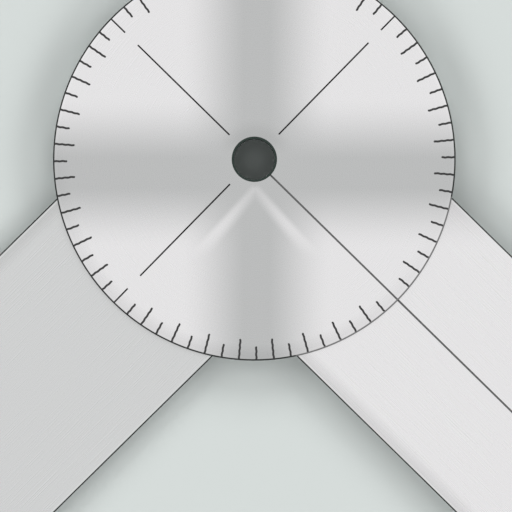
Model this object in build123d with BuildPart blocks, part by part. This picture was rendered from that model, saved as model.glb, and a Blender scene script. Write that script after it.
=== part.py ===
"""Two-armed goniometer with a full-circle dial. Millimetres and degrees.

The origin is on the pivot's axis, at the lower end of the hollow rivet. +Z points out of the
dial's face, and +X runs along the zero line of the fixed arm. The moving arm lies under the
fixed arm and turns about +Z without a stop.
"""

import os

from build123d import *

# Dial
dial_diameter = 72.5
dial_thickness = 1.3
rim_bevel_width = 2.8
rim_bevel_depth = 0.25
rim_arris = 0.3

# Arms, both of the same bar
arm_width = 40.0
arm_thickness = 1.2
arm_reach = 264.0
edge_break = 0.2
edge_bevel_width = 2.9
edge_bevel_depth = 0.25
opening_angle = 91.0

# Marks, cut into the steel and filled
long_divisions_per_quarter = 9
graduation_width = 0.38
short_graduation_length = 2.6
long_graduation_length = 3.85
cardinal_graduation_width = 0.28
cardinal_graduation_length = 3.7
axis_line_width = 0.28
axis_line_hub_gap = 2.2
axis_line_rim_gap = 6.9
zero_line_width = 0.34
zero_line_tip_gap = 6.0
zero_line_lap = 1.0
engraving_depth = 0.12
inlay_drop = 0.02

# Hollow rivet, from the bore outwards
bore_diameter = 7.4
neck_wall = 0.22
flare_spread = 0.13
flare_depth = 0.25
lip_height = 0.03
shoulder_width = 1.0
flange_width = 1.8
flange_thickness = 0.4

# Studs that hold the dial to the fixed arm
stud_count = 4
stud_diameter = 2.5
stud_flare_spread = 0.6
stud_flare_depth = 0.6
stud_seat_depth = 0.5
stud_first_angle = 45.0

# Washers, spring and bearing, each a ring round the rivet's barrel
friction_washer_width = 6.0
friction_washer_thickness = 0.2
bearing_wall = 1.2
thrust_washer_width = 4.0
thrust_washer_thickness = 0.3
spring_width = 3.4
spring_height = 0.5
spring_steel_thickness = 0.25
back_washer_width = 4.2
back_washer_thickness = 0.4

# Clearances, each on one side
inlay_gap = 0.01
seat_gap = 0.02
running_gap = 0.05
ring_gap = 0.1

# Levels, from the lower end of the rivet up to the dial's face
back_washer_level = flange_thickness
spring_level = back_washer_level + back_washer_thickness
thrust_washer_level = spring_level + spring_height
moving_arm_level = thrust_washer_level + thrust_washer_thickness
friction_washer_level = moving_arm_level + arm_thickness
fixed_arm_level = friction_washer_level + friction_washer_thickness
dial_level = fixed_arm_level + arm_thickness
face_level = dial_level + dial_thickness
engraving_level = face_level - rim_bevel_depth - engraving_depth

# Radii
dial_radius = dial_diameter / 2
bore_radius = bore_diameter / 2
neck_radius = bore_radius + neck_wall
flare_radius = neck_radius + flare_spread
barrel_radius = neck_radius + shoulder_width
flange_radius = barrel_radius + flange_width
rolled_edge_radius = 0.4 * flange_thickness
bearing_radius = barrel_radius + running_gap + bearing_wall
ring_radius = barrel_radius + ring_gap
arm_end_radius = arm_width / 2
stud_radius = stud_diameter / 2
stud_circle_radius = (barrel_radius + arm_end_radius) / 2

# Places
graduation_step = 90 / long_divisions_per_quarter / 2
mark_overrun = 0.5
fixed_arm_plane = Plane.XY.offset(fixed_arm_level)
moving_arm_plane = Plane.XY.offset(moving_arm_level).rotated((0, 0, -opening_angle))
on_base = (Align.CENTER, Align.CENTER, Align.MIN)


def dial_blank(drop):
    """Plain dial with its countersunk bore and bevelled rim, lowered by the drop."""
    bevel_slope = rim_bevel_depth / rim_bevel_width
    bottom = dial_level - drop
    top = face_level - drop
    arris_top = top - bevel_slope * (rim_bevel_width - rim_arris)
    with BuildPart() as blank:
        with BuildSketch(Plane.XZ):
            with BuildLine():
                Polyline(
                    (neck_radius + seat_gap, bottom),
                    (dial_radius - edge_break, bottom),
                    (dial_radius, bottom + edge_break),
                    (dial_radius, arris_top - rim_arris),
                    (dial_radius - rim_arris, arris_top),
                    (dial_radius - rim_bevel_width, top),
                    (flare_radius + seat_gap, top),
                    (neck_radius + seat_gap, top - flare_depth),
                    close=True,
                )
            make_face()
        revolve(axis=Axis.Z)
    return blank.part


def arm_blank(plane):
    """Bar from the pivot along the plane's X, with round ends and one bevelled long edge."""
    bevel_low = arm_thickness - edge_bevel_depth
    with BuildPart() as blank:
        with BuildSketch():
            with Locations(((arm_reach - arm_end_radius) / 2, 0)):
                SlotCenterToCenter(arm_reach - arm_end_radius, arm_width)
        extrude(amount=arm_thickness)
        chamfer(blank.faces().filter_by(Axis.Z).edges(), edge_break)
        with BuildSketch(Plane.YZ.offset(-arm_end_radius)):
            with BuildLine():
                Polyline(
                    (-arm_end_radius, arm_thickness),
                    (-arm_end_radius, bevel_low - edge_break),
                    (-arm_end_radius + edge_break, bevel_low),
                    (-arm_end_radius + edge_bevel_width, arm_thickness),
                    close=True,
                )
            make_face()
        extrude(amount=arm_end_radius + arm_reach, mode=Mode.SUBTRACT)
    return blank.part.moved(plane.location)


def ring(level, inner_radius, outer_radius, thickness):
    """Flat ring about the pivot, with its lower face at the level."""
    with BuildPart() as flat_ring:
        with BuildSketch(Plane.XY.offset(level)):
            Circle(outer_radius)
            Circle(inner_radius, mode=Mode.SUBTRACT)
        extrude(amount=thickness)
    return flat_ring.part


def stud_set(growth):
    """Studs with flared lower ends, grown all round by the given amount."""
    with BuildPart(fixed_arm_plane) as studs:
        with PolarLocations(stud_circle_radius, stud_count, start_angle=stud_first_angle):
            Cylinder(stud_radius + growth, arm_thickness + stud_seat_depth, align=on_base)
            Cone(
                stud_radius + stud_flare_spread + growth,
                stud_radius + growth,
                stud_flare_depth,
                align=on_base,
            )
    return studs.part


def dial_marks(inner_radius, outer_radius, width, spread, growth, round_end=False):
    """Prisms of one kind of mark, standing on the floor of the engraving.

    The spread says how many there are, at what angle the first one is and how far they reach
    round. The growth is added on every side.
    """
    count, first_angle, covered_angle = spread
    both_ends = covered_angle < 360
    with BuildSketch() as mark:
        with Locations(((inner_radius + outer_radius) / 2, 0)):
            Rectangle(outer_radius - inner_radius + 2 * growth, width + 2 * growth)
        if round_end:
            with Locations((inner_radius, 0)):
                Circle(width / 2 + growth)
    with BuildPart() as marks:
        with BuildSketch(Plane.XY.offset(engraving_level)):
            with PolarLocations(0, count, first_angle, covered_angle, endpoint=both_ends):
                add(mark.sketch)
        extrude(amount=face_level - engraving_level)
    return marks.part


def short_marks(growth):
    """Rim marks at the odd multiples of the graduation step."""
    inner_radius = dial_radius - short_graduation_length
    outer_radius = dial_radius + mark_overrun
    spread = (4 * long_divisions_per_quarter, graduation_step, 360)
    return dial_marks(inner_radius, outer_radius, graduation_width, spread, growth, True)


def long_marks(growth):
    """Rim marks at the even multiples of the step, apart from the four quarters."""
    inner_radius = dial_radius - long_graduation_length
    outer_radius = dial_radius + mark_overrun
    count = long_divisions_per_quarter - 1
    long_step = 2 * graduation_step
    with BuildPart() as marks:
        for quarter in range(4):
            spread = (count, 90 * quarter + long_step, long_step * (count - 1))
            add(dial_marks(inner_radius, outer_radius, graduation_width, spread, growth, True))
    return marks.part


def cardinal_marks(growth):
    """Rim marks at the three quarters that the zero line leaves free."""
    inner_radius = dial_radius - cardinal_graduation_length
    outer_radius = dial_radius + mark_overrun
    return dial_marks(
        inner_radius, outer_radius, cardinal_graduation_width, (3, 90, 180), growth
    )


def axis_marks(growth):
    """Lines from near the hub to near the rim marks, at the same three quarters."""
    inner_radius = flare_radius + axis_line_hub_gap
    outer_radius = dial_radius - axis_line_rim_gap
    return dial_marks(inner_radius, outer_radius, axis_line_width, (3, 90, 180), growth)


def zero_mark(growth):
    """Line along X from the rivet's ring over the rim."""
    inner_radius = neck_radius
    outer_radius = dial_radius + mark_overrun
    return dial_marks(inner_radius, outer_radius, zero_line_width, (1, 0, 360), growth)


def arm_zero_mark(growth, drop):
    """Line along the middle of the fixed arm, from just under the dial's rim."""
    start = dial_radius - zero_line_lap
    end = arm_reach - zero_line_tip_gap
    with BuildPart() as mark:
        with BuildSketch(Plane.XY.offset(dial_level - engraving_depth)):
            with Locations(((start + end) / 2, 0)):
                Rectangle(end - start + 2 * growth, zero_line_width + 2 * growth)
        extrude(amount=engraving_depth - drop)
    return mark.part


os.makedirs("parts", exist_ok=True)

# Dial: lies on the fixed arm, with all its marks cut in
with BuildPart() as dial_disc:
    add(dial_blank(0))
    add(stud_set(seat_gap), mode=Mode.SUBTRACT)
    for marks_of_one_kind in (short_marks, long_marks, cardinal_marks, axis_marks, zero_mark):
        add(marks_of_one_kind(inlay_gap), mode=Mode.SUBTRACT)
dial_disc.part.label = "dial_disc"
export_step(dial_disc.part, "parts/dial_disc.step")

# Fillings of the dial's marks: each stays just under the dial's face and bevel
inlay_limit = dial_blank(inlay_drop)

with BuildPart() as short_graduations:
    add(short_marks(0))
    add(inlay_limit, mode=Mode.INTERSECT)
short_graduations.part.label = "short_graduations"
export_step(short_graduations.part, "parts/short_graduations.step")

with BuildPart() as long_graduations:
    add(long_marks(0))
    add(inlay_limit, mode=Mode.INTERSECT)
long_graduations.part.label = "long_graduations"
export_step(long_graduations.part, "parts/long_graduations.step")

with BuildPart() as cardinal_graduations:
    add(cardinal_marks(0))
    add(inlay_limit, mode=Mode.INTERSECT)
cardinal_graduations.part.label = "cardinal_graduations"
export_step(cardinal_graduations.part, "parts/cardinal_graduations.step")

with BuildPart() as axis_lines:
    add(axis_marks(0))
    add(inlay_limit, mode=Mode.INTERSECT)
axis_lines.part.label = "axis_lines"
export_step(axis_lines.part, "parts/axis_lines.step")

with BuildPart() as dial_zero_line:
    add(zero_mark(0))
    add(inlay_limit, mode=Mode.INTERSECT)
dial_zero_line.part.label = "dial_zero_line"
export_step(dial_zero_line.part, "parts/dial_zero_line.step")

# Fixed arm: its first round end is under the dial, about the pivot
with BuildPart() as fixed_arm:
    add(arm_blank(fixed_arm_plane))
    with BuildSketch(fixed_arm_plane):
        Circle(barrel_radius + seat_gap)
    extrude(amount=arm_thickness, mode=Mode.SUBTRACT)
    add(stud_set(seat_gap), mode=Mode.SUBTRACT)
    add(arm_zero_mark(inlay_gap, 0), mode=Mode.SUBTRACT)
fixed_arm.part.label = "fixed_arm"
export_step(fixed_arm.part, "parts/fixed_arm.step")

with BuildPart() as arm_zero_line:
    add(arm_zero_mark(0, inlay_drop))
arm_zero_line.part.label = "arm_zero_line"
export_step(arm_zero_line.part, "parts/arm_zero_line.step")

with BuildPart() as dial_studs:
    add(stud_set(0))
dial_studs.part.label = "dial_studs"
export_step(dial_studs.part, "parts/dial_studs.step")

# Hollow rivet: flared into the dial, shouldered under it and rolled over the back washer
with BuildPart() as pivot_bush:
    with BuildSketch(Plane.XZ):
        with BuildLine():
            Polyline(
                (bore_radius, 0),
                (flange_radius, 0),
                (flange_radius, flange_thickness),
                (barrel_radius, flange_thickness),
                (barrel_radius, dial_level),
                (neck_radius, dial_level),
                (neck_radius, face_level - flare_depth),
                (flare_radius, face_level),
                (flare_radius, face_level + lip_height),
                (bore_radius, face_level + lip_height),
                close=True,
            )
        make_face()
    revolve(axis=Axis.Z)
    rolled_edges = pivot_bush.edges().filter_by(GeomType.CIRCLE).sort_by(SortBy.RADIUS)[-2:]
    fillet(rolled_edges, rolled_edge_radius)
pivot_bush.part.label = "pivot_bush"
export_step(pivot_bush.part, "parts/pivot_bush.step")

# Rings on the rivet's barrel, from the top down
with BuildPart() as friction_washer:
    rim = ring_radius + friction_washer_width
    add(ring(friction_washer_level, ring_radius, rim, friction_washer_thickness))
friction_washer.part.label = "friction_washer"
export_step(friction_washer.part, "parts/friction_washer.step")

with BuildPart() as arm_bearing:
    add(ring(moving_arm_level, barrel_radius + running_gap, bearing_radius, arm_thickness))
arm_bearing.part.label = "arm_bearing"
export_step(arm_bearing.part, "parts/arm_bearing.step")

with BuildPart() as thrust_washer:
    rim = ring_radius + thrust_washer_width
    add(ring(thrust_washer_level, ring_radius, rim, thrust_washer_thickness))
thrust_washer.part.label = "thrust_washer"
export_step(thrust_washer.part, "parts/thrust_washer.step")

# Spring washer: a flat cone, its inner edge up against the thrust washer
with BuildPart() as disc_spring:
    rim = ring_radius + spring_width
    with BuildSketch(Plane.XZ):
        with BuildLine():
            Polyline(
                (ring_radius, thrust_washer_level - spring_steel_thickness),
                (rim, spring_level),
                (rim, spring_level + spring_steel_thickness),
                (ring_radius, thrust_washer_level),
                close=True,
            )
        make_face()
    revolve(axis=Axis.Z)
disc_spring.part.label = "disc_spring"
export_step(disc_spring.part, "parts/disc_spring.step")

with BuildPart() as back_washer:
    rim = ring_radius + back_washer_width
    add(ring(back_washer_level, ring_radius, rim, back_washer_thickness))
back_washer.part.label = "back_washer"
export_step(back_washer.part, "parts/back_washer.step")

# Moving arm: the same bar as the fixed arm, turned clockwise by the opening angle
with BuildPart() as moving_arm:
    add(arm_blank(moving_arm_plane))
    with BuildSketch(moving_arm_plane):
        Circle(bearing_radius + seat_gap)
    extrude(amount=arm_thickness, mode=Mode.SUBTRACT)
moving_arm.part.label = "moving_arm"
export_step(moving_arm.part, "parts/moving_arm.step")
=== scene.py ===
"""Looks of the two-armed goniometer, round its packed solids.

Everything is in metres, in the frame of the solids: the origin is on the pivot's axis at the
lower end of the hollow rivet, +Z points out of the dial's face, and +X runs along the zero line
of the fixed arm. The dial and the fillings of its marks are worked out here as fine surfaces.
The arms, the rivet and the rings round it are the solids themselves with a finish.
"""

import math

import bpy
import numpy as np
from bpy.props import FloatProperty, FloatVectorProperty, IntProperty, PointerProperty
from bpy.types import Operator, Panel, PropertyGroup
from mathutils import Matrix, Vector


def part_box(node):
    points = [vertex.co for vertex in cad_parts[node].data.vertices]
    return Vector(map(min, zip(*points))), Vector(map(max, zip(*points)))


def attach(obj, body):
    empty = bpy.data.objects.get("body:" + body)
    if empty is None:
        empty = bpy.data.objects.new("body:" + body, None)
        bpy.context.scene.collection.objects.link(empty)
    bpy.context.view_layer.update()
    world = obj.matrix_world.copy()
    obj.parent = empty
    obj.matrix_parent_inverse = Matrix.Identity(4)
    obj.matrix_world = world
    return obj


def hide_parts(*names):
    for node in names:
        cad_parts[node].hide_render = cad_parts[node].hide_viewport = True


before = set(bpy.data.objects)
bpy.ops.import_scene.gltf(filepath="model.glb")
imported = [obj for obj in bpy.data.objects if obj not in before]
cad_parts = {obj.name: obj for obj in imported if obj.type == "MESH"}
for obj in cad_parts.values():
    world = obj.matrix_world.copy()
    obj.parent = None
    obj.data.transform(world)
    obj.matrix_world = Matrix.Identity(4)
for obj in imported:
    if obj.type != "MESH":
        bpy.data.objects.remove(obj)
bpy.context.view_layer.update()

bl_info = {
    "name": "Two-armed goniometer",
    "version": (1, 0, 0),
    "blender": (4, 5, 0),
    "location": "3D View > Sidebar > Goniometer",
    "description": "Builds the dial, marks and finishes of a two-armed goniometer",
    "category": "Object",
}

MM = 0.001
PER_METRE = 1000.0

# What the solids give
dial_low, dial_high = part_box("dial_disc")
fixed_arm_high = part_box("fixed_arm")[1]
moving_arm_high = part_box("moving_arm")[1]

# Angle between the arms at rest, and between the dial's level grey band of painted reflection and
# its zero line
opening_angle = math.radians(91.0)
glance_angle = math.radians(44.42)


def shown(red, green, blue):
    """Linear colour that a screen shows as these levels from 0 to 255."""
    levels = np.array([red, green, blue]) / 255
    low = levels / 12.92
    high = ((levels + 0.055) / 1.055) ** 2.4
    return tuple(float(part) for part in np.where(levels <= 0.04045, low, high))


def length(name, description, default):
    """Length property, in metres."""
    return FloatProperty(
        name=name, description=description, default=default, min=0.0, precision=5,
        unit="LENGTH", subtype="DISTANCE",
    )


def share(name, description, default):
    """Property for a part of one."""
    return FloatProperty(
        name=name, description=description, default=default, min=0.0, max=1.0, subtype="FACTOR"
    )


def colour(name, description, default):
    """Colour property."""
    return FloatVectorProperty(
        name=name, description=description, default=default, size=3, min=0.0, max=1.0,
        subtype="COLOR",
    )


# Sizes and colours


class DialSizes(PropertyGroup):
    """Sizes of the dial."""

    radius: length("Radius", "Radius over the rim", -dial_low.x)
    underside: length("Underside", "Height of the lower face", dial_low.z)
    face: length("Face", "Height of the upper face", dial_high.z)
    bore: length("Bore", "Radius of the hole round the rivet's neck", 3.94 * MM)
    flare: length("Flare", "Radius of the countersink at the face", 4.07 * MM)
    flare_depth: length("Flare depth", "Depth of the countersink", 0.25 * MM)
    bevel_width: length("Bevel width", "Width of the sloping rim", 2.8 * MM)
    bevel_depth: length("Bevel depth", "How far the rim slopes down", 0.25 * MM)
    arris: length("Arris", "Rounding of the upper edge of the rim", 0.3 * MM)
    under_edge: length("Under edge", "Rounding of the lower edge of the rim", 0.2 * MM)
    turns: IntProperty(
        name="Divisions", description="Divisions of the round surface", default=540, min=36
    )


class MarkSizes(PropertyGroup):
    """Sizes of the fillings in the marks."""

    width: length("Width", "Width of the ordinary rim marks", 0.38 * MM)
    short: length("Short", "Length of the short rim marks", 2.6 * MM)
    long: length("Long", "Length of the long rim marks", 3.85 * MM)
    quarter: length("Quarter", "Length of the marks at the quarters", 3.7 * MM)
    quarter_width: length("Quarter width", "Width of the marks at the quarters", 0.28 * MM)
    axis_width: length("Axis width", "Width of the lines along the axes", 0.28 * MM)
    axis_start: length("Axis start", "Where the lines start, from the pivot", 6.25 * MM)
    axis_end: length("Axis end", "Where the lines end, from the pivot", 29.35 * MM)
    zero_width: length("Zero width", "Width of the zero line", 0.34 * MM)
    wave_length: length("Wave length", "Length of one wave of a hand-cut mark", 1.1 * MM)
    wave_height: length("Wave height", "How far a hand-cut mark sways", 0.035 * MM)
    rise: length("Rise", "How far a filling stands above the steel", 0.01 * MM)
    sunk: length("Sunk", "How far a filling reaches into the steel", 0.06 * MM)


class SteelFinish(PropertyGroup):
    """Colours of the brushed steel, and of the reflection and shade painted on it."""

    light: colour("Light", "The dial and the fixed arm", shown(229, 228, 229))
    # Painted reflection: the middle of the dial's grey bands, where the steel is shown reflecting
    # less light
    band: colour("Band", "Middle of the dial's grey bands", shown(188, 189, 189))
    moving: colour("Moving arm", "The moving arm", shown(208, 209, 209))
    # Painted shade: the dark line along the edges, lighter where the dial's edge lies on the fixed
    # arm
    edge: colour("Edge", "The dark line along every edge", shown(52, 54, 53))
    lap_shade: colour("Lap", "The dial's edge where it lies on the fixed arm", shown(128, 128, 128))
    roughness: share("Roughness", "Roughness of the brushed steel", 0.28)
    grain: share("Grain", "How much the brushing changes the colour", 0.008)


class FittingFinish(PropertyGroup):
    """Colours of the marks and of the parts round the pivot."""

    marks: colour("Rim marks", "Filling of the rim marks", shown(58, 58, 58))
    lines: colour("Lines", "Filling of the thin straight marks", shown(26, 26, 26))
    zero: colour("Zero line", "Filling of the zero line", shown(96, 96, 96))
    rivet: colour("Rivet", "Blackened steel of the hollow rivet", shown(56, 66, 62))
    bright: colour("Bright", "Turned steel of the studs and the back washer", shown(205, 206, 207))
    spring: colour("Spring", "Dull steel of the disc spring", shown(152, 154, 158))
    plastic: colour("Plastic", "Off-white plastic of the washers", shown(226, 224, 217))
    bronze: colour("Bronze", "Bearing bronze", shown(196, 160, 112))


class StageSizes(PropertyGroup):
    """Floor, light and camera."""

    floor: colour("Floor", "Colour of the floor", shown(214, 220, 218))
    floor_reach: length("Floor reach", "Half the floor's width", 60.0)
    fill: share("Fill", "Light from the whole sky on dull surfaces", 0.1)
    horizon: share("Horizon", "Brightness of the horizon that metal shows", 0.66)
    lamps: IntProperty(name="Lamps", description="Lamps in the ring", default=8, min=3)
    lamp_power: FloatProperty(
        name="Lamp strength", description="Strength of each lamp in the ring", default=0.65, min=0.0
    )
    top_power: FloatProperty(
        name="Top strength", description="Strength of the lamp overhead", default=0.22, min=0.0
    )
    top_spread: FloatProperty(
        name="Top spread", description="Width of the lamp overhead as seen from the floor",
        default=math.radians(56.0), subtype="ANGLE",
    )
    lamp_tilt: FloatProperty(
        name="Lamp tilt", description="Angle of the lamps from straight above",
        default=math.radians(60.0), subtype="ANGLE",
    )
    lamp_spread: FloatProperty(
        name="Lamp spread", description="Width of each lamp as seen from the floor",
        default=math.radians(24.0), subtype="ANGLE",
    )
    aim_x: FloatProperty(
        name="Aim X", description="Where the camera looks", default=12.39 * MM, precision=5,
        unit="LENGTH",
    )
    aim_y: FloatProperty(
        name="Aim Y", description="Where the camera looks", default=-12.22 * MM, precision=5,
        unit="LENGTH",
    )
    distance: length("Distance", "Height of the camera over the dial's face", 1.0232)
    lens: FloatProperty(
        name="Lens", description="Focal length in millimetres", default=400.0, min=20.0
    )
    turn: FloatProperty(
        name="Turn", description="Turn of the camera about its line of sight",
        default=glance_angle, subtype="ANGLE",
    )


# Surfaces


def softened(corners, radii, steps=6):
    """Closed profile with its corners rounded.

    Each corner gives way to the curve that starts the radius before it and ends the radius
    after it: the weighted mean of those two points and the corner, with weights (1 - t)²,
    2 t (1 - t) and t². One more point a quarter of the radius outside each end keeps the
    flats flat.
    """
    corners = np.array(corners)
    radii = np.array(radii)[:, None]
    back = np.roll(corners, 1, axis=0) - corners
    ahead = np.roll(corners, -1, axis=0) - corners
    back /= np.linalg.norm(back, axis=1)[:, None]
    ahead /= np.linalg.norm(ahead, axis=1)[:, None]
    start = corners + radii * back
    end = corners + radii * ahead
    t = np.linspace(0, 1, steps + 1)[None, :, None]
    curve = (
        (1 - t) ** 2 * start[:, None] + 2 * t * (1 - t) * corners[:, None] + t**2 * end[:, None]
    )
    before = (start + 0.25 * radii * back)[:, None]
    after = (end + 0.25 * radii * ahead)[:, None]
    return np.concatenate([before, curve, after], axis=1).reshape(-1, 2)


def turned(profile, divisions):
    """Points of a closed profile turned about Z, as rows of one angle each.

    x = r cos a, y = r sin a, z = z, with a in even steps round the circle.
    """
    angle = np.linspace(0, 2 * np.pi, divisions, endpoint=False)[:, None]
    radius, height = profile[:, 0], profile[:, 1]
    level = np.broadcast_to(height, (divisions, len(height)))
    return np.stack([radius * np.cos(angle), radius * np.sin(angle), level], axis=2)


def grid_faces(rows, columns, closed_rows):
    """Faces of a grid whose columns close up, and whose rows close up if asked."""
    row = np.arange(rows if closed_rows else rows - 1)[:, None]
    column = np.arange(columns)[None, :]
    next_row = (row + 1) % rows
    next_column = (column + 1) % columns
    corners = [
        row * columns + column,
        next_row * columns + column,
        next_row * columns + next_column,
        row * columns + next_column,
    ]
    return np.stack(np.broadcast_arrays(*corners), axis=2).reshape(-1, 4)


def piece(name, points, faces, body, finish, nodes):
    """New piece of the points and lists of faces, on its body, in place of the nodes."""
    mesh = bpy.data.meshes.new(name)
    corners = [face for part in faces for face in part.tolist()]
    mesh.from_pydata(points.reshape(-1, 3).tolist(), [], corners)
    mesh.validate()
    mesh.polygons.foreach_set("use_smooth", np.ones(len(mesh.polygons), bool))
    mesh.materials.append(finish)
    made = bpy.data.objects.new(name, mesh)
    bpy.context.scene.collection.objects.link(made)
    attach(made, body)
    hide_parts(*nodes)
    return made


def dial_height(sizes, radius):
    """Height of the dial's upper surface: the face, then the straight slope of the rim."""
    slope = sizes.bevel_depth / sizes.bevel_width
    return sizes.face - slope * np.maximum(radius - (sizes.radius - sizes.bevel_width), 0)


def marks_end(sizes):
    """Distance from the pivot at which the rim marks end, on the rounding of the rim."""
    return sizes.radius - 0.9 * sizes.arris


# Length of a step along a hand-cut filling, number of steps along a straight one and round
# an inner end, and shift in radians from one mark's wave to the next mark's
hand_cut_step = 0.12 * MM
straight_steps = 12
end_steps = 5
wave_shift = 2.4

# Section of a filling: places across in half widths, and heights of the top in rises
section_across = np.array([-1, -0.6, 0, 0.6, 1, 1, -1])
section_top = np.array([0, 0.64, 1, 0.64, 0])


def fillings(dial, marks, angles, start, end, width, hand_cut):
    """Points and faces of the fillings of one kind of mark, each a closed bar.

    Along a mark, s goes from the start to the end in even steps. Its middle sways sideways
    by the wave height times the sine of 2 pi s over the wave length plus the mark's own
    phase, and its half width near a rounded inner end is the root of w² - (w - (s - start))².
    Across it, c goes from -1 to 1 and the top is the dial's height plus rise (1 - c²); the
    underside is a flat strip at the dial's height less the sunk depth. Each end closes in
    a fan whose tip lies half the sunk depth down.
    """
    half = width / 2
    if hand_cut:
        bend = np.linspace(1 / end_steps, 1, end_steps) * np.pi / 2
        straight = np.linspace(start + half, end, int((end - start) / hand_cut_step) + 1)
        s = np.concatenate([start + half * (1 - np.cos(bend)), straight[1:]])
    else:
        s = np.linspace(start, end, straight_steps + 1)
    bevel_start = dial.radius - dial.bevel_width
    if start < bevel_start < end:
        s = np.sort(np.append(s, bevel_start))
    inset = np.maximum(half - (s - start), 0) if hand_cut else np.zeros_like(s)
    half_width = np.sqrt(np.maximum(half**2 - inset**2, 0))
    angles = np.radians(np.asarray(angles, float))[:, None]
    phase = wave_shift * np.arange(len(angles))[:, None]
    sway = marks.wave_height * np.sin(2 * np.pi * s[None, :] / marks.wave_length + phase)
    middle = sway if hand_cut else np.zeros((len(angles), len(s)))
    lift = np.concatenate([section_top * marks.rise, [-marks.sunk, -marks.sunk]])
    side = middle[:, :, None] + half_width[None, :, None] * section_across
    along = np.broadcast_to(s[None, :, None], side.shape)
    level = dial_height(dial, along) + lift
    ends = np.stack([middle[:, 0], middle[:, -1]], axis=1)
    end_s = np.broadcast_to([start if hand_cut else s[0], s[-1]], ends.shape)
    end_level = dial_height(dial, end_s) - 0.5 * marks.sunk
    along = np.concatenate([along.reshape(len(angles), -1), end_s], axis=1)
    side = np.concatenate([side.reshape(len(angles), -1), ends], axis=1)
    level = np.concatenate([level.reshape(len(angles), -1), end_level], axis=1)
    points = np.stack(
        [
            along * np.cos(angles) - side * np.sin(angles),
            along * np.sin(angles) + side * np.cos(angles),
            level,
        ],
        axis=2,
    )
    ring = len(section_across)
    body = grid_faces(len(s), ring, False)
    inner = np.arange(ring)
    outer = inner + ring * (len(s) - 1)
    tips = ring * len(s)
    fans = np.concatenate(
        [
            np.stack([np.full(ring, tips), np.roll(inner, -1), inner], axis=1)[:, ::-1],
            np.stack([np.full(ring, tips + 1), outer, np.roll(outer, -1)], axis=1)[:, ::-1],
        ]
    )
    shift = (np.arange(len(angles)) * (tips + 2))[:, None, None]
    return points, [(body + shift).reshape(-1, 4), (fans + shift).reshape(-1, 3)]


# Finishes


class Reading:
    """A number, colour or vector somewhere in a finish. Arithmetic on it adds a Math node."""

    def __init__(self, recipe, socket):
        self.recipe = recipe
        self.socket = socket

    def __add__(self, other):
        return self.recipe.sum("ADD", self, other)

    def __sub__(self, other):
        return self.recipe.sum("SUBTRACT", self, other)

    def __rsub__(self, other):
        return self.recipe.sum("SUBTRACT", other, self)

    def __mul__(self, other):
        return self.recipe.sum("MULTIPLY", self, other)

    def __truediv__(self, other):
        return self.recipe.sum("DIVIDE", self, other)

    def __rtruediv__(self, other):
        return self.recipe.sum("DIVIDE", other, self)

    def __pow__(self, other):
        return self.recipe.sum("POWER", self, other)

    def __gt__(self, other):
        return self.recipe.sum("GREATER_THAN", self, other)

    def __lt__(self, other):
        return self.recipe.sum("LESS_THAN", self, other)

    def __abs__(self):
        return self.recipe.sum("ABSOLUTE", self)

    __radd__ = __add__
    __rmul__ = __mul__


class Recipe:
    """Nodes of one finish, or of the sky."""

    def __init__(self, tree):
        self.tree = tree
        tree.nodes.clear()

    def node(self, kind, settings, sockets, output=0):
        """Adds a node: its settings first, then its sockets' values or links."""
        made = self.tree.nodes.new(kind)
        for name, value in settings.items():
            setattr(made, name, value)
        for name, value in sockets.items():
            if isinstance(value, Reading):
                self.tree.links.new(value.socket, made.inputs[name])
            else:
                made.inputs[name].default_value = value
        return Reading(self, made.outputs[output]) if made.outputs else made

    def sum(self, operation, *values):
        """Math node on one or two numbers."""
        return self.node("ShaderNodeMath", {"operation": operation}, dict(enumerate(values)))

    def rise(self, value, start, end, soft=True):
        """0 up to the start and 1 from the end, with a soft or straight rise in between."""
        kind = "SMOOTHSTEP" if soft else "LINEAR"
        ends = {"Value": value, "From Min": start, "From Max": end}
        return self.node("ShaderNodeMapRange", {"interpolation_type": kind}, ends)

    def between(self, amount, low, high):
        """Low where the amount is 0, high where it is 1, and evenly in between."""
        return amount * (high - low) + low

    def larger(self, first, second):
        """The larger of two numbers."""
        return self.sum("MAXIMUM", first, second)

    def smaller(self, first, second):
        """The smaller of two numbers."""
        return self.sum("MINIMUM", first, second)

    def blend(self, first, second, amount):
        """Colour between the first and the second."""
        first, second = (
            tone if isinstance(tone, Reading) else (*tone, 1.0) for tone in (first, second)
        )
        kind = {"data_type": "RGBA", "clamp_factor": True}
        return self.node("ShaderNodeMix", kind, {0: amount, 6: first, 7: second}, 2)

    def dim(self, tone, amount):
        """Colour times a number."""
        return self.node(
            "ShaderNodeVectorMath", {"operation": "SCALE"}, {"Vector": tone, "Scale": amount}
        )

    def places(self, turn=0.0):
        """Coordinates on the piece in millimetres, turned about Z."""
        spot = self.node("ShaderNodeTexCoord", {}, {}, "Object")
        turned_spot = self.node(
            "ShaderNodeMapping",
            {"vector_type": "POINT"},
            {"Vector": spot, "Rotation": (0, 0, turn), "Scale": (PER_METRE,) * 3},
        )
        return [
            self.node("ShaderNodeSeparateXYZ", {}, {"Vector": turned_spot}, axis)
            for axis in ("X", "Y", "Z")
        ]

    def speckle(self, x, y, z, detail=2.0, roughness=0.5):
        """Noise from 0 to 1 at a place, with features about one unit wide."""
        spot = self.node("ShaderNodeCombineXYZ", {}, {"X": x, "Y": y, "Z": z})
        sockets = {"Vector": spot, "Scale": 1.0, "Detail": detail, "Roughness": roughness}
        return self.node("ShaderNodeTexNoise", {}, sockets, "Fac")

    def close(self, shader, kind="ShaderNodeOutputMaterial"):
        """Links the shader to the output."""
        self.node(kind, {}, {"Surface": shader})


def new_recipe(name):
    """New material with an empty recipe."""
    material = bpy.data.materials.new(name)
    material.use_nodes = True
    return material, Recipe(material.node_tree)


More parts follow.
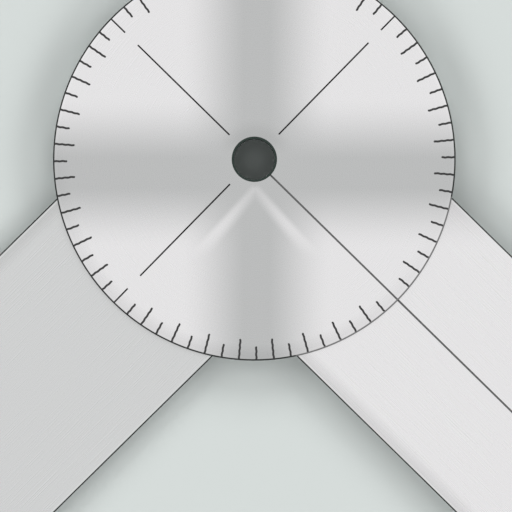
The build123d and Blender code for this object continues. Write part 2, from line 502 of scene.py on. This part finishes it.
def principled(recipe, tone, roughness, relief, depth, constants):
    """Principled shader with a relief, given in millimetres, and its constant values."""
    bump = recipe.node(
        "ShaderNodeBump", {}, {"Strength": 1.0, "Distance": depth * MM, "Height": relief}, "Normal"
    )
    sockets = {"Base Color": tone, "Roughness": roughness, "Normal": bump, **constants}
    recipe.close(recipe.node("ShaderNodeBsdfPrincipled", {}, sockets))


def brushed(recipe, steel, tone, grain):
    """Brushed steel: the grain changes the colour a little, and the gloss and relief."""
    toned = recipe.dim(tone, recipe.between(grain, 1.0 - steel.grain, 1.0 + steel.grain))
    low, high = steel.roughness - 0.05, steel.roughness + 0.05
    roughness = recipe.between(grain, low, high)
    principled(recipe, toned, roughness, grain, grain_depth, {"Metallic": 1.0})


def distance_from(recipe, x, y):
    """Distance of a place from the middle."""
    return (x * x + y * y) ** 0.5


# Painted reflection: grey bands across the dial, in millimetres on the two lines square to them
upright_reflection_band = {"middle": 0.39, "flat": 2.3, "fade": 13.5}
level_reflection_band = {"middle": -2.47, "flat": 2.7, "fade": 13.5}

# Painted highlight: a bright V of reflection below the pivot, with lengths in millimetres: its
# point on the same two lines, and its legs
chevron_highlight_point = {"across": 0.16, "up": -5.6}
chevron_highlight_leg = {
    "angle": math.radians(40.0),
    "strength": 0.587,
    "outer_side": (0.24, 1.48),
    "outer_spread": 0.04,
    "inner_side": (-1.38, 0.52),
    "inner_spread": 0.03,
    "start": (-0.86, 0.06),
    "start_share": 0.6,
    "brightest": 6.5,
    "end": (6.9, 16.6),
    "end_slant": 0.54,
}

# Painted light and shade on the dial: the way that the rim's painted shade faces, and lengths in
# millimetres, from the rim inwards or from the pivot outwards
rim_shade = {"across": -0.21, "up": -0.98, "before_bevel": 0.2, "strength": 0.176}
rim_highlight = {"from": 0.8, "to": 0.6, "strength": 0.03}
rim_shade_line = {"from": 0.31, "to": 0.25}
hub_shade = {"radius": (4.2, 7.6), "up": (0.5, 4.0), "strength": 0.12}

# Painted shade and highlight on an arm, in millimetres from its edge, and how far the level band
# of painted reflection reaches along it
arm_bevel_shade = (0.7, 2.9)
arm_highlight = (0.45, 0.65)
arm_shade_line = (0.2, 0.28)
arm_reflection_band_end = (45.0, 60.0)
edge_shade_depth = 0.6 * MM

# Brushing: lines to a millimetre on a face and up an arm's edge, how often they change along
# their way, and their depth in millimetres
grain_lines = 9.0
edge_grain_lines = 3.0
dial_grain_breaks = 5.0
arm_grain_breaks = 0.09
grain_depth = 0.00025


def reflection_band_fade(recipe, place, band):
    """0 in a band's flat middle and 1 outside it, by half w (1.5 - 0.5 w) + half w's soft rise."""
    off = abs(place - band["middle"])
    straight = recipe.rise(off, band["flat"], band["fade"], soft=False)
    soft = recipe.rise(off, band["flat"], band["fade"])
    return straight * (0.75 - 0.25 * straight) + 0.5 * soft


def chevron_highlight(recipe, across, up):
    """Painted highlight, a bright V below the pivot: a streak down each side of one point,
    mirrored.

    "along" runs down a leg from the point, and "off" is the distance from the leg's line,
    outwards. A leg is sharper on its outer side than on its inner side, widens a little on
    its way down, is brightest a little above its middle, and fades out.
    """
    leg = chevron_highlight_leg
    cosine, sine = math.cos(leg["angle"]), math.sin(leg["angle"])
    down = chevron_highlight_point["up"] - up
    side = abs(across - chevron_highlight_point["across"])
    along = down * cosine + side * sine
    off = side * cosine - down * sine
    outer = 1.0 - recipe.rise(off - along * leg["outer_spread"], *leg["outer_side"])
    inner = recipe.rise(off + along * leg["inner_spread"], *leg["inner_side"])
    growth = (1.0 - leg["start_share"]) * recipe.rise(along, 0.0, leg["brightest"])
    start = recipe.rise(along, *leg["start"]) * (leg["start_share"] + growth)
    end = 1.0 - recipe.rise(along - off * leg["end_slant"], *leg["end"])
    return leg["strength"] * (outer * inner * start * end)


def dial_finish(steel, sizes):
    """Brushed dial with painted light and shade: two crossing grey bands, a bright V, a shaded rim,
    dark edges.
    """
    material, recipe = new_recipe("brushed_dial_painted_light")
    x, y, z = recipe.places()
    across, up, _ = recipe.places(-glance_angle)
    radius = distance_from(recipe, x, y)
    rim = sizes.radius * PER_METRE
    # Painted reflection: the grey bands and the bright V
    light = reflection_band_fade(recipe, across, upright_reflection_band) * reflection_band_fade(recipe, up, level_reflection_band)
    light = recipe.smaller(light + chevron_highlight(recipe, across, up), 1.0)
    tone = recipe.blend(steel.band, steel.light, light)
    # Painted shade on the sloping rim, on one side only, as if lit from the other
    away = (up * rim_shade["up"] + across * rim_shade["across"]) / radius
    bevel_start = rim - sizes.bevel_width * PER_METRE - rim_shade["before_bevel"]
    slope = recipe.rise(radius, bevel_start, rim, soft=False)
    shade = slope * recipe.larger(away, 0.0) * rim_shade["strength"]
    # Painted shadow round the pivot, on its upper side
    near_hub = 1.0 - recipe.rise(radius, *hub_shade["radius"])
    hub = near_hub * recipe.rise(up, *hub_shade["up"]) * hub_shade["strength"]
    tone = recipe.dim(tone, 1.0 - shade - hub)
    # Painted highlight just inside the rim
    highlight = recipe.rise(radius, rim - rim_highlight["from"], rim - rim_highlight["to"])
    tone = recipe.dim(tone, 1.0 + highlight * rim_highlight["strength"])
    # Painted shade: a dark line at the rim's upper edge, lighter where the dial lies on the fixed
    # arm
    over_arm = (x > 0.0) * (abs(y) < fixed_arm_high.y * PER_METRE)
    dark_edge_shade = recipe.rise(radius, rim - rim_shade_line["from"], rim - rim_shade_line["to"], soft=False)
    dark_edge_shade = dark_edge_shade * (z > (sizes.face - sizes.bevel_depth - sizes.arris) * PER_METRE)
    line = recipe.blend(steel.edge, steel.lap_shade, over_arm)
    tone = recipe.blend(tone, line, dark_edge_shade)
    breaks = [place / radius * dial_grain_breaks for place in (x, y)]
    grain = recipe.speckle(*breaks, radius * grain_lines)
    brushed(recipe, steel, tone, grain)
    return material


def arm_finish(name, steel, tone, turn, look):
    """Brushed arm with painted light and shade: a shaded bevel along one side, a light line, a dark
    edge.

    The distance from the edge is the half width less the distance from the line that joins
    the centres of the two round ends.
    """
    material, recipe = new_recipe(name)
    x, y, z = recipe.places(turn)
    half = fixed_arm_high.y * PER_METRE
    tip = fixed_arm_high.x * PER_METRE - half
    beyond = recipe.larger(x - tip, 0.0) + recipe.smaller(x, 0.0)
    from_edge = half - distance_from(recipe, beyond, y)
    # Painted shade along the bevel on one side of the arm
    bevel = (1.0 - recipe.rise(from_edge, *arm_bevel_shade, soft=False)) * (y < 0.0)
    inside = (x > 0.0) * (x < tip)
    _, up, _ = recipe.places(-glance_angle)
    # Painted reflection: the dial's level grey band carried on over the arm near the pivot
    band = 1.0 - reflection_band_fade(recipe, up, level_reflection_band)
    near = 1.0 - recipe.rise(abs(x), *arm_reflection_band_end)
    shade = band * near * look["band"] + bevel * inside * look["bevel"]
    toned = recipe.dim(tone, 1.0 - shade)
    # Painted highlight: a light line just inside the edge
    highlight = (1.0 - recipe.rise(from_edge, *arm_highlight, soft=False)) * look["highlight"]
    toned = recipe.blend(toned, look["highlight_tone"], highlight)
    # Painted shade: a dark line along the arm's upper edge
    upper = z > (look["top"] - edge_shade_depth) * PER_METRE
    dark_edge_shade = (1.0 - recipe.rise(from_edge, *arm_shade_line, soft=False)) * upper
    toned = recipe.blend(toned, steel.edge, dark_edge_shade)
    grain = recipe.speckle(x * arm_grain_breaks, y * grain_lines, z * edge_grain_lines)
    brushed(recipe, steel, toned, grain)
    return material


def enamel_finish(name, tone):
    """Enamel wiped into a cut line, a little uneven."""
    clouds_per_mm = 2.5
    relief = 0.004
    material, recipe = new_recipe(name)
    cloud = recipe.speckle(*[place * clouds_per_mm for place in recipe.places()], 3.0)
    toned = recipe.dim(tone, recipe.between(cloud, 0.86, 1.14))
    roughness = recipe.between(cloud, 0.5, 0.7)
    principled(recipe, toned, roughness, cloud, relief, {"Specular IOR Level": 0.2})
    return material


def turned_metal(name, tone, roughness, relief):
    """Metal ring or stud, turned on a lathe: fine circles about the pivot and faint stains."""
    circles_per_mm = 12.0
    breaks = 3.0
    stains_per_mm = 0.6
    material, recipe = new_recipe(name)
    x, y, z = recipe.places()
    radius = distance_from(recipe, x, y)
    across = (radius + z) * circles_per_mm
    circles = recipe.speckle(x / radius * breaks, y / radius * breaks, across)
    stains = recipe.speckle(*[place * stains_per_mm for place in (x, y, z)], 4.0)
    toned = recipe.between(circles, 0.86, 0.98) + recipe.between(stains, 0.0, 0.16)
    low, high = roughness - 0.08, roughness + 0.02
    gloss = recipe.between(circles, low, high) + recipe.between(stains, 0.0, 0.06)
    principled(recipe, recipe.dim(tone, toned), gloss, circles, relief, {"Metallic": 1.0})
    return material


def plastic_finish(name, tone):
    """Off-white washer plastic with faint turning marks and clouding."""
    circles_per_mm = 6.0
    breaks = 2.0
    clouds_per_mm = 0.4
    relief = 0.004
    material, recipe = new_recipe(name)
    x, y, z = recipe.places()
    radius = distance_from(recipe, x, y)
    across = radius * circles_per_mm
    circles = recipe.speckle(x / radius * breaks, y / radius * breaks, across)
    clouds = recipe.speckle(*[place * clouds_per_mm for place in (x, y, z)], 3.0)
    toned = recipe.between(clouds, 0.92, 1.02) + recipe.between(circles, 0.0, 0.04)
    roughness = recipe.between(circles, 0.38, 0.52)
    constants = {"Specular IOR Level": 0.4}
    principled(recipe, recipe.dim(tone, toned), roughness, circles, relief, constants)
    return material


def floor_finish(tone):
    """Plain matt floor with the faintest mottle."""
    spots_per_mm = 0.02
    material, recipe = new_recipe("pale_floor")
    mottle = recipe.speckle(*[place * spots_per_mm for place in recipe.places()])
    toned = recipe.dim(tone, recipe.between(mottle, 0.995, 1.005))
    constants = {"Base Color": toned, "Roughness": 0.9, "Specular IOR Level": 0.0}
    recipe.close(recipe.node("ShaderNodeBsdfPrincipled", {}, constants))
    return material


def finish_node(name, material):
    """Gives a solid its finish."""
    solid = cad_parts[name]
    if not solid.material_slots:
        solid.data.materials.append(material)
    for slot in solid.material_slots:
        slot.material = material


# Operators


class GONIOMETER_OT_dial(Operator):
    """Builds the bevelled dial"""

    bl_idname = "goniometer.dial"
    bl_label = "Dial"

    def execute(self, context):
        sizes = context.scene.goniometer_dial
        steel = context.scene.goniometer_steel
        corners = [
            (sizes.bore, sizes.underside),
            (sizes.radius, sizes.underside),
            (sizes.radius, sizes.face - sizes.bevel_depth),
            (sizes.radius - sizes.bevel_width, sizes.face),
            (sizes.flare, sizes.face),
            (sizes.bore, sizes.face - sizes.flare_depth),
        ]
        bore_edge, bevel_edge, flare_edge = 0.04 * MM, 0.4 * MM, 0.03 * MM
        radii = [bore_edge, sizes.under_edge, sizes.arris, bevel_edge, flare_edge, flare_edge]
        points = turned(softened(corners, radii), sizes.turns)
        faces = grid_faces(points.shape[0], points.shape[1], True)
        finish = dial_finish(steel, sizes)
        piece(
            "bevelled_dial", points, [faces], "fixed_arm_and_dial", finish,
            ["dial_disc"],
        )
        return {"FINISHED"}


class GONIOMETER_OT_graduations(Operator):
    """Builds the fillings of the marks round the rim"""

    bl_idname = "goniometer.graduations"
    bl_label = "Rim marks"

    def execute(self, context):
        dial = context.scene.goniometer_dial
        marks = context.scene.goniometer_marks
        fittings = context.scene.goniometer_fittings
        rim_finish = enamel_finish("dark_enamel", fittings.marks)
        thin_finish = enamel_finish("dark_line_enamel", fittings.lines)
        tens = np.arange(10, 360, 10)
        kinds = {
            "short_graduation": (np.arange(5, 360, 10), marks.short, marks.width, True),
            "long_graduation": (tens[tens % 90 != 0], marks.long, marks.width, True),
            "cardinal_graduation": ([90, 180, 270], marks.quarter, marks.quarter_width, False),
        }
        end = marks_end(dial)
        for name, (angles, reach, width, hand_cut) in kinds.items():
            start = dial.radius - reach
            points, faces = fillings(dial, marks, angles, start, end, width, hand_cut)
            piece(
                name + "_fillings", points, faces, "fixed_arm_and_dial",
                rim_finish if hand_cut else thin_finish, [name + "s"],
            )
        return {"FINISHED"}


class GONIOMETER_OT_lines(Operator):
    """Builds the fillings of the long lines on the dial, and finishes the one on the arm"""

    bl_idname = "goniometer.lines"
    bl_label = "Lines"

    def execute(self, context):
        dial = context.scene.goniometer_dial
        marks = context.scene.goniometer_marks
        fittings = context.scene.goniometer_fittings
        dark = enamel_finish("dark_axis_enamel", fittings.lines)
        grey = enamel_finish("grey_enamel", fittings.zero)
        points, faces = fillings(
            dial, marks, [90, 180, 270], marks.axis_start, marks.axis_end, marks.axis_width, False
        )
        piece(
            "axis_line_fillings", points, faces, "fixed_arm_and_dial", dark,
            ["axis_lines"],
        )
        end = marks_end(dial)
        points, faces = fillings(dial, marks, [0], dial.flare, end, marks.zero_width, False)
        piece(
            "zero_line_filling", points, faces, "fixed_arm_and_dial", grey,
            ["dial_zero_line"],
        )
        finish_node("arm_zero_line", grey)
        return {"FINISHED"}


class GONIOMETER_OT_arms(Operator):
    """Finishes the two arms"""

    bl_idname = "goniometer.arms"
    bl_label = "Arms"

    def execute(self, context):
        steel = context.scene.goniometer_steel
        # Strengths of the painted reflection band, the painted shade on the bevel and the painted
        # highlight line, with its colour
        fixed_look = {
            "band": 0.29, "bevel": 0.165, "highlight": 0.3, "highlight_tone": shown(236, 236, 236),
            "top": fixed_arm_high.z,
        }
        moving_look = {
            "band": 0.05, "bevel": 0.12, "highlight": 0.5, "highlight_tone": shown(222, 224, 223),
            "top": moving_arm_high.z,
        }
        fixed = arm_finish("brushed_fixed_arm_painted_light", steel, steel.light, 0.0, fixed_look)
        moving = arm_finish(
            "brushed_moving_arm_painted_light", steel, steel.moving, opening_angle, moving_look
        )
        finish_node("fixed_arm", fixed)
        finish_node("moving_arm", moving)
        return {"FINISHED"}


class GONIOMETER_OT_pivot(Operator):
    """Finishes the rivet, the studs and the rings round the pivot"""

    bl_idname = "goniometer.pivot"
    bl_label = "Pivot"

    def execute(self, context):
        tones = context.scene.goniometer_fittings
        bright = turned_metal("turned_steel", tones.bright, 0.28, 0.001)
        plastic = plastic_finish("washer_plastic", tones.plastic)
        finishes = {
            "pivot_bush": turned_metal("blackened_steel", tones.rivet, 0.42, 0.0005),
            "dial_studs": bright,
            "back_washer": bright,
            "disc_spring": turned_metal("spring_steel", tones.spring, 0.38, 0.001),
            "arm_bearing": turned_metal("bearing_bronze", tones.bronze, 0.3, 0.001),
            "friction_washer": plastic,
            "thrust_washer": plastic,
        }
        for name, material in finishes.items():
            finish_node(name, material)
        return {"FINISHED"}


class GONIOMETER_OT_stage(Operator):
    """Makes the floor, the light and the camera"""

    bl_idname = "goniometer.stage"
    bl_label = "Stage"

    @staticmethod
    def lamp(scene, name, power, spread, tilt):
        """Soft lamp from one direction, which metal doesn't mirror."""
        lamp = bpy.data.lights.new(name, "SUN")
        lamp.energy = power
        lamp.angle = spread
        holder = bpy.data.objects.new(name, lamp)
        holder.rotation_euler = tilt
        holder.visible_glossy = False
        scene.collection.objects.link(holder)

    def execute(self, context):
        scene = context.scene
        stage = scene.goniometer_stage
        corners = np.array([(-1, -1, 0), (1, -1, 0), (1, 1, 0), (-1, 1, 0)], float)
        mesh = bpy.data.meshes.new("floor")
        mesh.from_pydata((corners * stage.floor_reach).tolist(), [], [(0, 1, 2, 3)])
        mesh.materials.append(floor_finish(stage.floor))
        floor = bpy.data.objects.new("floor", mesh)
        scene.collection.objects.link(floor)

        scene.world = scene.world or bpy.data.worlds.new("studio")
        scene.world.use_nodes = True
        sky = Recipe(scene.world.node_tree)
        ray = {
            name: sky.node("ShaderNodeLightPath", {}, {}, f"Is {name} Ray")
            for name in ("Camera", "Glossy", "Transmission")
        }
        direction = sky.node("ShaderNodeTexCoord", {}, {}, "Generated")
        upward = sky.node("ShaderNodeSeparateXYZ", {}, {"Vector": direction}, "Z")
        brightest_from = 0.85
        dome = sky.between(sky.rise(upward, 0.0, brightest_from), stage.horizon, 1.0)
        mirrored = sky.larger(ray["Glossy"], ray["Transmission"]) * dome
        strength = sky.larger(sky.larger(ray["Camera"], mirrored), stage.fill)
        backdrop = sky.blend((1.0, 1.0, 1.0), tuple(stage.floor), ray["Camera"])
        light = {"Color": backdrop, "Strength": strength}
        sky.close(sky.node("ShaderNodeBackground", {}, light), "ShaderNodeOutputWorld")

        self.lamp(scene, "lamp_overhead", stage.top_power, stage.top_spread, (0.0, 0.0, 0.0))
        for number in range(stage.lamps):
            turn = 2 * math.pi * (number + 0.5) / stage.lamps
            tilt = (stage.lamp_tilt, 0.0, turn)
            name = f"lamp_{number + 1}"
            self.lamp(scene, name, stage.lamp_power, stage.lamp_spread, tilt)

        lens = bpy.data.cameras.new("camera")
        lens.lens = stage.lens
        lens.sensor_width = 36.0
        lens.clip_start = 0.05
        lens.clip_end = 200.0
        camera = bpy.data.objects.new("camera", lens)
        height = scene.goniometer_dial.face + stage.distance
        camera.location = (stage.aim_x, stage.aim_y, height)
        camera.rotation_euler = (0.0, 0.0, stage.turn)
        scene.collection.objects.link(camera)
        scene.camera = camera
        scene.view_settings.view_transform = "Standard"
        return {"FINISHED"}


class GONIOMETER_PT_panel(Panel):
    """Sizes, finishes and the steps of the goniometer"""

    bl_label = "Two-armed goniometer"
    bl_idname = "GONIOMETER_PT_panel"
    bl_space_type = "VIEW_3D"
    bl_region_type = "UI"
    bl_category = "Goniometer"

    def draw(self, context):
        for step in steps:
            self.layout.operator(step.bl_idname)
        for name, group in settings.items():
            box = self.layout.box()
            box.label(text=group.__doc__)
            values = getattr(context.scene, name)
            for entry in group.__annotations__:
                box.prop(values, entry)


settings = {
    "goniometer_dial": DialSizes,
    "goniometer_marks": MarkSizes,
    "goniometer_steel": SteelFinish,
    "goniometer_fittings": FittingFinish,
    "goniometer_stage": StageSizes,
}
steps = [
    GONIOMETER_OT_dial,
    GONIOMETER_OT_graduations,
    GONIOMETER_OT_lines,
    GONIOMETER_OT_arms,
    GONIOMETER_OT_pivot,
    GONIOMETER_OT_stage,
]


def register():
    """Registers the classes and puts the settings on the scene."""
    for made in (*settings.values(), *steps, GONIOMETER_PT_panel):
        bpy.utils.register_class(made)
    for name, group in settings.items():
        setattr(bpy.types.Scene, name, PointerProperty(type=group))


def unregister():
    """Takes the settings and the classes away again."""
    for name in settings:
        delattr(bpy.types.Scene, name)
    for made in (GONIOMETER_PT_panel, *reversed(steps), *reversed(settings.values())):
        bpy.utils.unregister_class(made)


def main():
    register()
    bpy.ops.goniometer.dial()
    bpy.ops.goniometer.graduations()
    bpy.ops.goniometer.lines()
    bpy.ops.goniometer.arms()
    bpy.ops.goniometer.pivot()
    bpy.ops.goniometer.stage()


if __name__ == "__main__":
    main()
